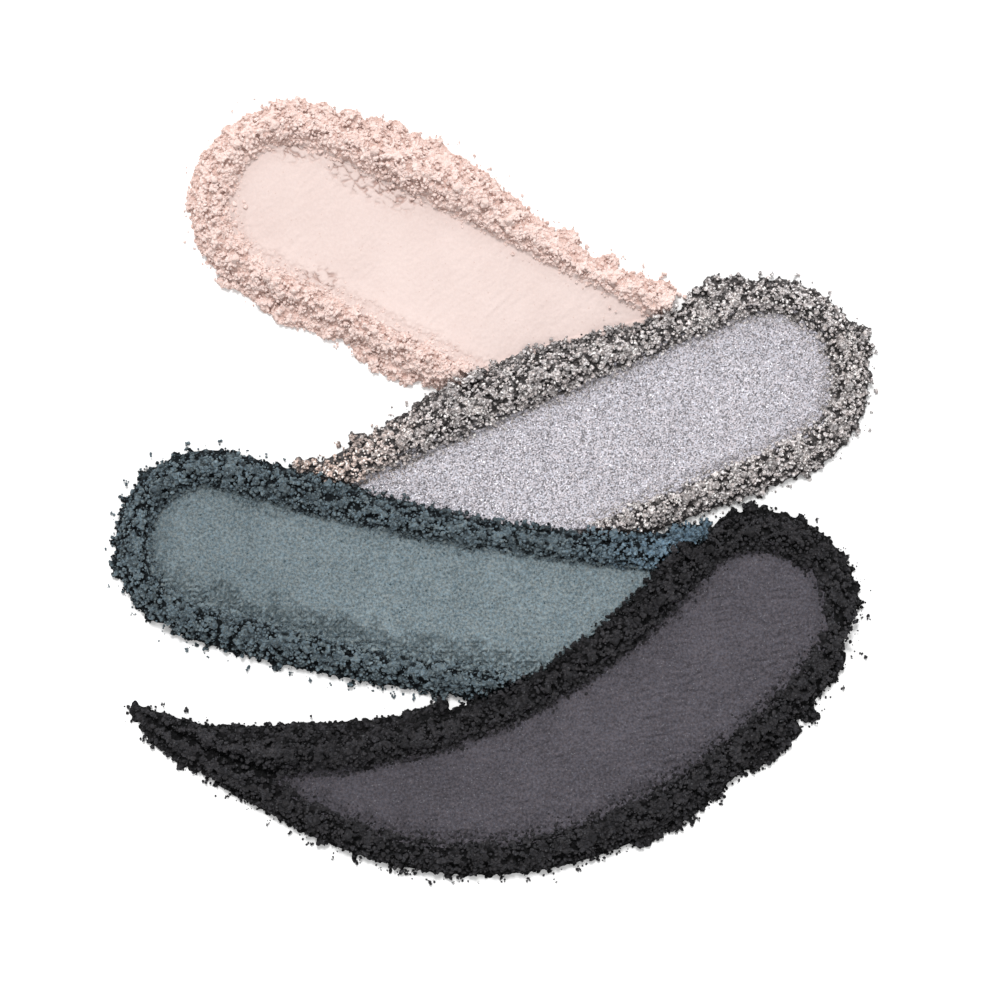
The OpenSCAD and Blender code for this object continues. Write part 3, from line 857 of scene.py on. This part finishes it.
# Loose crumbs: a few stuck together at each ball, finer ones round the foot of the stroke, and those
# that have rolled on to its bed, fewer and smaller the further they are from the ridges.
def buildCrumbs(shade, s, material):
    rng = np.random.default_rng(s["seed"])
    bm = bmesh.new()
    grains = lumpShapes(rng, 8, 1, not s["crisp"])
    placed, parts = [], []
    for centre, radius in ballsOf(f"{shade}_crumbs"):
        count = int(rng.integers(3, 8))
        size = rng.uniform(0.5, 1.0) * radius
        foot = ridgeTrees[shade].find_nearest(centre)[0]
        for i in range(count):
            spot = np.array(centre) + rng.normal(size=3) * size * 0.5
            part = size * rng.uniform(0.3, 0.65)
            placed.append([spot[0], spot[1], max(part, spot[2] - radius + size)])
            parts.append(part)
        for i in range(int(rng.integers(0, 4))):  # and some on the way back to the bank
            share = rng.random()
            part = radius * rng.uniform(0.25, 0.5)
            spot = centre.lerp(foot, share)
            side = rng.normal(size=2) * 0.15 * mm
            placed.append([spot.x + side[0], spot.y + side[1], heightAt(spot.x, spot.y) + part * 0.8])
            parts.append(part)
    surface = bmesh.new()
    for kind in solidKinds[1:]:
        surface.from_mesh(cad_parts[f"{shade}_{kind}"].data)
    spots, normals = pointsOn(surface, s["dustPerMm2"], rng)
    surface.free()
    for spot, normal in zip(spots, normals):
        out = np.array([normal[0], normal[1], 0.0])
        if np.linalg.norm(out) < 0.3 or spot[2] > 1.2 * mm:
            continue
        out /= np.linalg.norm(out)
        patch = noise.noise(Vector(spot) / (2.5 * mm) + Vector((0, 0, s["seed"])))
        reach = rng.exponential(s["dustReach"]) * (1 + 2 * patch) * mm
        if reach < 0 or reach > 2.2 * mm:
            continue
        at = spot + out * (reach + 0.1 * mm)
        size = s["dustSize"][0] + (s["dustSize"][1] - s["dustSize"][0]) * rng.random() ** 2
        size *= mm / 2 * (1 - 0.3 * reach / (2.2 * mm))
        at[2] = heightAt(at[0], at[1]) + size * 0.8
        placed.append(at)
        parts.append(size)
    surface = bmesh.new()
    surface.from_mesh(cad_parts[f"{shade}_bed"].data)
    spots, _ = pointsOn(surface, s["fringePerMm2"], rng, 0.5)
    surface.free()
    for spot in spots[inTheOpen(shade, "bed", spots, 0.4)]:
        near, _, _, gap = ridgeTrees[shade].find_nearest(Vector(spot))
        low = 0.5 + 0.5 * (spot[1] - near.y) / max(gap, 1e-9)
        patch = 1 + 0.9 * noise.noise(Vector(spot) / (2.0 * mm) + Vector((0, 0, s["seed"])))
        reach = (s["fringeUpper"] + (s["fringeLower"] - s["fringeUpper"]) * low) * patch * mm
        if rng.random() > math.exp(-gap / reach):
            continue
        size = s["fringeSize"][0] + (s["fringeSize"][1] - s["fringeSize"][0]) * rng.random() ** 2
        size *= mm / 2 * (0.45 + 0.55 * math.exp(-gap / reach))
        top = bedTops[shade].ray_cast(Vector((spot[0], spot[1], 0.01)), Vector((0, 0, -1)))[0]
        if top is None:
            continue
        placed.append([spot[0], spot[1], top.z + size * 0.2])
        parts.append(size)
    for x, y, size in s["stray"]:
        placed.append([x * mm, y * mm, heightAt(x * mm, y * mm) + size * 0.4 * mm])
        parts.append(size / 2 * mm)
    addLumps(bm, grains, placed, parts, rng)
    dropShapes(grains)
    for vert in bm.verts:
        vert.co.z = max(vert.co.z, 0)
        vert.co.x = min(max(vert.co.x, cadLow.x), cadHigh.x)
        vert.co.y = min(max(vert.co.y, cadLow.y), cadHigh.y)
    crumbs = objectFrom(bm, shade + "Crumbs")
    paintShadeAndTone(crumbs, [0.75 + 0.25 * noise.noise(vert.co / (0.5 * mm)) for vert in crumbs.data.vertices])
    finishPiece(crumbs, f"{shade}_crumbs", material)


def finishPiece(piece, node, material):
    piece.data.materials.clear()
    piece.data.materials.append(material)
    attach(piece, "root")
    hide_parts(node)
    print("made", piece.name, sum(len(face.vertices) - 2 for face in piece.data.polygons), "triangles")


roseRidges = {
    "seed": 100, "voxel": 0.15, "settle": 0.45, "clodPerMm2": 2.6, "clodSize": (0.35, 0.95), "clodSink": 0.4,
    "crumbPerMm2": 6.0, "crumbSize": (0.2, 0.5), "crumbSink": (-0.08, 0.25), "grainsPerCrumb": 0.7,
    "grainSize": (0.12, 0.24), "boundShare": 0.3, "smoothReach": 1.3, "upperShare": 0.85,
    "lowerShare": 0.4, "lumpSize": 0.5, "lumpDepth": 0.55, "gritSize": 0.22, "gritDepth": 0.14,
    "ragged": 0.9, "hollowReach": 0.4, "hollowDepth": 0.5, "crisp": True, "moundRise": 0.9,
    "mounds": {"cap_ridge": [(-24.2, 36.7, 1.0), (-21.0, 37.9, 1.3)],
               "upper_ridge": [(-19.15, 37.9, 1.3), (-16.95, 37.5, 1.4), (-14.25, 36.8, 1.5), (-11.65, 36.2, 1.3),
                               (-9.6, 35.8, 1.1), (-7.8, 35.0, 0.9), (-6.05, 34.5, 0.9), (7.8, 25.2, 1.0),
                               (11.7, 22.9, 0.9)],
               "lower_ridge": [(-26.0, 21.5, 1.0), (-25.0, 21.0, 1.0), (-24.0, 20.5, 1.0), (-23.0, 19.7, 1.0),
                               (-22.0, 18.9, 1.0), (-21.0, 18.1, 1.0), (-20.1, 17.6, 1.0), (-19.1, 17.4, 1.0),
                               (-18.1, 17.2, 1.0), (-17.1, 16.7, 1.0), (-16.1, 16.2, 1.0), (-12.9, 13.9, 0.9),
                               (-11.4, 13.1, 0.9), (-9.9, 12.3, 0.9), (-8.4, 11.5, 0.8)]},
    "thin": {"upper_ridge": [(18.2, 22.0, 1.2), (19.3, 20.9, 1.1), (4.55, 28.5, 0.8), (1.75, 30.6, 0.7)]}}
silverRidges = {
    "seed": 200, "voxel": 0.17, "settle": 0.5, "clodPerMm2": 2.6, "clodSize": (0.35, 0.85), "clodSink": 0.4,
    "crumbPerMm2": 6.5, "crumbSize": (0.22, 0.5), "crumbSink": (-0.12, 0.25), "grainsPerCrumb": 0.8,
    "grainSize": (0.13, 0.25), "boundShare": 0.1, "smoothReach": 0.8, "upperShare": 0.85,
    "lowerShare": 0.6, "lumpSize": 0.5, "lumpDepth": 0.55, "gritSize": 0.22, "gritDepth": 0.14,
    "ragged": 1.2, "hollowReach": 0.33, "hollowDepth": 0.42, "crisp": True, "moundRise": 0.8,
    "mounds": {"cap_ridge": [(37.0, 14.2, 1.1), (37.0, 15.8, 0.9)],
               "upper_ridge": [(20.7, 19.2, 1.1), (22.4, 19.9, 1.5), (24.4, 20.3, 1.2), (-13.3, 5.0, 0.9),
                               (-19.1, 2.4, 0.7), (-17.9, 2.8, 0.7)]},
    "thin": {"cap_ridge": [(35.5, 3.3, 1.0), (34.2, 2.3, 1.0), (32.9, 1.1, 1.0)],
             "lower_ridge": [(35.5, 3.3, 1.0), (34.2, 2.3, 1.2), (32.9, 1.1, 1.2), (31.5, 0.2, 1.2)]}}
tealRidges = {
    "seed": 300, "voxel": 0.17, "settle": 0.55, "clodPerMm2": 2.6, "clodSize": (0.35, 0.9), "clodSink": 0.4,
    "crumbPerMm2": 6.5, "crumbSize": (0.22, 0.52), "crumbSink": (-0.12, 0.25), "grainsPerCrumb": 0.6,
    "grainSize": (0.13, 0.26), "boundShare": 0.1, "smoothReach": 1.0, "upperShare": 0.85,
    "lowerShare": 0.5, "lumpSize": 0.5, "lumpDepth": 0.55, "gritSize": 0.22, "gritDepth": 0.14,
    "ragged": 1.2, "hollowReach": 0.36, "hollowDepth": 0.42, "crisp": True, "moundRise": 0.8,
    "mounds": {"cap_ridge": [(-34.6, 1.4, 0.7), (-37.1, -6.9, 0.7), (-37.2, -8.0, 0.7)],
               "upper_ridge": [(18.2, -4.9, 1.2), (19.2, -4.6, 1.2), (20.3, -4.3, 1.1), (21.3, -3.9, 0.8)]},
    "thin": {"cap_ridge": [(-33.2, -14.2, 1.4), (-31.5, -15.4, 1.2)],
             "lower_ridge": [(-33.2, -14.2, 1.4), (-31.5, -15.4, 1.3), (-29.9, -16.0, 1.1)]}}
charcoalRidges = {
    "seed": 400, "voxel": 0.17, "settle": 0.55, "clodPerMm2": 2.4, "clodSize": (0.35, 0.95), "clodSink": 0.4,
    "crumbPerMm2": 5.5, "crumbSize": (0.24, 0.58), "crumbSink": (-0.12, 0.25), "grainsPerCrumb": 0.6,
    "grainSize": (0.14, 0.28), "boundShare": 0.1, "smoothReach": 0.9, "upperShare": 0.85,
    "lowerShare": 0.6, "lumpSize": 0.5, "lumpDepth": 0.55, "gritSize": 0.22, "gritDepth": 0.14,
    "ragged": 1.2, "hollowReach": 0.4, "hollowDepth": 0.5, "crisp": True, "moundRise": 0.9,
    "mounds": {"cap_ridge": [(26.0, -1.8, 0.7)],
               "upper_ridge": [(-35.8, -21.9, 0.5), (-35.5, -22.6, 0.5), (-28.0, -24.2, 0.9), (-26.6, -24.2, 1.0),
                               (-25.2, -24.3, 1.1), (-23.8, -24.4, 1.1),
                               (-22.4, -24.4, 1.1), (-21.0, -24.4, 1.2), (-19.6, -24.3, 1.2),
                               (-18.2, -24.2, 1.2), (-16.8, -24.2, 1.2), (-15.4, -24.1, 1.1),
                               (-14.0, -23.9, 1.1), (-12.6, -23.9, 1.1), (-11.2, -23.7, 1.1),
                               (-9.8, -23.3, 1.0), (-8.4, -22.9, 0.9), (-7.2, -22.4, 0.8), (-6.0, -21.9, 0.7),
                               (-4.8, -21.3, 0.6)],
               "lower_ridge": [(-34.7, -23.5, 0.5), (-34.0, -24.1, 0.5), (-33.3, -24.7, 0.5), (-32.7, -25.3, 0.5),
                               (-32.0, -25.9, 0.5), (-31.3, -26.5, 0.5), (-30.6, -27.0, 0.5),
                               (-29.6, -27.6, 0.5), (31.6, -22.3, 0.8),
                               (29.9, -23.9, 1.0), (28.9, -25.0, 1.0), (27.6, -26.0, 1.0), (26.2, -27.0, 0.9),
                               (15.0, -34.6, 0.9), (16.4, -33.8, 0.9), (17.9, -32.9, 0.9),
                               (19.3, -32.0, 0.9), (20.8, -30.9, 0.9), (22.2, -29.8, 0.9)]},
    "thin": {"upper_ridge": [(20.4, -3.9, 1.2), (19.0, -5.2, 0.9), (22.0, -2.6, 0.9)],
             "cap_ridge": [(20.4, -3.9, 1.2), (22.0, -2.6, 0.9), (37.6, -12.8, 1.2), (37.1, -14.4, 1.4),
                           (36.4, -16.2, 1.4)],
             "lower_ridge": [(37.1, -14.4, 1.4), (36.4, -16.2, 1.4), (35.7, -18.7, 1.2), (34.2, -21.2, 1.0)]}}
ridgesOf = {"rose": roseRidges, "silver": silverRidges, "teal": tealRidges, "charcoal": charcoalRidges}
roseBed = {
    "seed": 1, "voxel": 0.1, "cove": 0.35, "skin": 0.65, "coveReach": 2.6, "upperCove": 0.25, "rippleTurn": -48,
    "rippleSize": 0.6, "rippleLong": 4, "rippleDepth": 0.05, "gritSize": 0.35, "gritDepth": 0.03,
    "waveSize": 6, "waveDepth": 0.12, "rough": 0.12, "roughReach": 0.9, "roughSize": 0.5, "roughShade": 0.3,
    "cracked": [(-11.2, 32.2, 7.0), (-19.2, 35.2, 3.5), (-17.1, 20.2, 3.0)], "crackTurn": -28,
    "crackLong": 1.5, "crackReach": 3.0, "crackWidth": 0.13, "crackDepth": 0.35, "crackShade": 1.0,
    "flakeSize": 0.75, "flakeLift": 0.12, "fade": 0.06, "fadeTo": 0, "fadeLength": 20, "ridgeShadow": 0.1}
silverBed = {
    "seed": 2, "voxel": 0.11, "cove": 0.3, "skin": 0.35, "coveReach": 1.8, "upperCove": 0.3, "rippleTurn": 23,
    "rippleSize": 1.2, "rippleLong": 6, "rippleDepth": 0.03, "gritSize": 0.35, "gritDepth": 0.03,
    "waveSize": 7, "waveDepth": 0.1, "rough": 0.2, "roughReach": 0.9, "roughSize": 0.45, "roughShade": 0.6,
    "cracked": [], "crackTurn": 20, "crackLong": 1, "crackReach": 1, "crackWidth": 0.15, "crackDepth": 0.2,
    "crackShade": 0.8, "flakeSize": 0.8, "flakeLift": 0.1, "fade": 0.0, "fadeTo": 0, "fadeLength": 20,
    "ridgeShadow": 0.12}
tealBed = {
    "seed": 3, "voxel": 0.11, "cove": 0.3, "skin": 0.35, "coveReach": 2.2, "upperCove": 0.25, "rippleTurn": -55,
    "rippleSize": 0.45, "rippleLong": 3, "rippleDepth": 0.14, "gritSize": 0.28, "gritDepth": 0.08,
    "waveSize": 6, "waveDepth": 0.12, "rough": 0.45, "roughReach": 2.1, "roughSize": 0.5, "roughShade": 1.0,
    "cracked": [(-22.9, -0.8, 5.0), (-23.2, -10.8, 6.0), (-14.2, -13.6, 6.0), (-8.0, -2.5, 3.0)],
    "crackTurn": -10, "crackLong": 0.8, "crackReach": 1.9, "crackWidth": 0.1, "crackDepth": 0.2,
    "crackShade": 0.7, "flakeSize": 0.8, "flakeLift": 0.1, "fade": 0.14, "fadeTo": -8, "fadeLength": 20,
    "ridgeShadow": 0.12}
charcoalBed = {
    "seed": 4, "voxel": 0.115, "cove": 0.3, "skin": 0.3, "coveReach": 2.0, "upperCove": 0.25, "rippleTurn": -76,
    "rippleSize": 0.4, "rippleLong": 4, "rippleDepth": 0.2, "gritSize": 0.28, "gritDepth": 0.04,
    "waveSize": 8, "waveDepth": 0.12, "rough": 0.25, "roughReach": 1.2, "roughSize": 0.5, "roughShade": 0.7,
    "cracked": [(18.9, -10.8, 5.0), (15.0, -13.5, 4.0)], "crackTurn": 45, "crackLong": 1.3,
    "crackReach": 1.6, "crackWidth": 0.12, "crackDepth": 0.2, "crackShade": 0.7, "flakeSize": 0.7,
    "flakeLift": 0.1, "fade": 0.14, "fadeTo": 8, "fadeLength": 20, "ridgeShadow": 0.12}
clumpShape = {"crumbsPerClump": 16, "sink": 0.75, "coreShare": 0.62, "voxel": 0.11}
roseCrumbs = {
    "seed": 120, "crisp": True, "dustPerMm2": 0.8, "dustReach": 0.25, "dustSize": (0.1, 0.35),
    "fringePerMm2": 9, "fringeUpper": 0.15, "fringeLower": 0.4, "fringeSize": (0.12, 0.36),
    "stray": [(-24.5, 28.4, 0.5), (-24.7, 28.9, 0.35), (-9.8, 30.5, 0.5), (-10.1, 30.3, 0.35),
              (11.8, 18.4, 0.25), (12.4, 18.0, 0.2), (11.2, 17.4, 0.18),
              (18.8, 19.7, 0.6), (19.3, 19.5, 0.5), (19.8, 19.4, 0.45), (20.2, 19.3, 0.4)]}
silverCrumbs = {
    "seed": 220, "crisp": True, "dustPerMm2": 0.8, "dustReach": 0.25, "dustSize": (0.1, 0.35),
    "fringePerMm2": 24, "fringeUpper": 0.7, "fringeLower": 0.4, "fringeSize": (0.12, 0.34), "stray": []}
tealCrumbs = {
    "seed": 320, "crisp": True, "dustPerMm2": 0.8, "dustReach": 0.25, "dustSize": (0.1, 0.35),
    "fringePerMm2": 14, "fringeUpper": 0.2, "fringeLower": 0.7, "fringeSize": (0.13, 0.36), "stray": []}
charcoalCrumbs = {
    "seed": 420, "crisp": True, "dustPerMm2": 0.8, "dustReach": 0.25, "dustSize": (0.1, 0.35),
    "fringePerMm2": 12, "fringeUpper": 0.3, "fringeLower": 0.45, "fringeSize": (0.14, 0.45),
    "stray": [(-36.3, -21.5, 0.45), (-36.4, -22.1, 0.4), (-36.0, -22.9, 0.4)]}


def buildStroke(shade, beds, ridges, crumbs, pressed, crumbled):
    buildBed(shade, beds, pressed)
    for kind in solidKinds[1:]:
        buildRidge(shade, kind, ridges, crumbled)
    buildClumps(shade, {**clumpShape, "seed": ridges["seed"] + 10}, crumbled)
    buildCrumbs(shade, crumbs, crumbled)
    print("finished the", shade, "stroke")


makeCamera(studio)
makeStudio(studio)
buildStroke("rose", roseBed, roseRidges, roseCrumbs,
            mattePowder("rosePressed", rosePressed), mattePowder("roseCrumbled", roseCrumbled))
buildStroke("silver", silverBed, silverRidges, silverCrumbs,
            shimmerPowder("silverPressed", silverPressed), shimmerPowder("silverCrumbled", silverCrumbled))
buildStroke("teal", tealBed, tealRidges, tealCrumbs,
            mattePowder("tealPressed", tealPressed), mattePowder("tealCrumbled", tealCrumbled))
buildStroke("charcoal", charcoalBed, charcoalRidges, charcoalCrumbs,
            mattePowder("charcoalPressed", charcoalPressed),
            mattePowder("charcoalCrumbled", charcoalCrumbled))
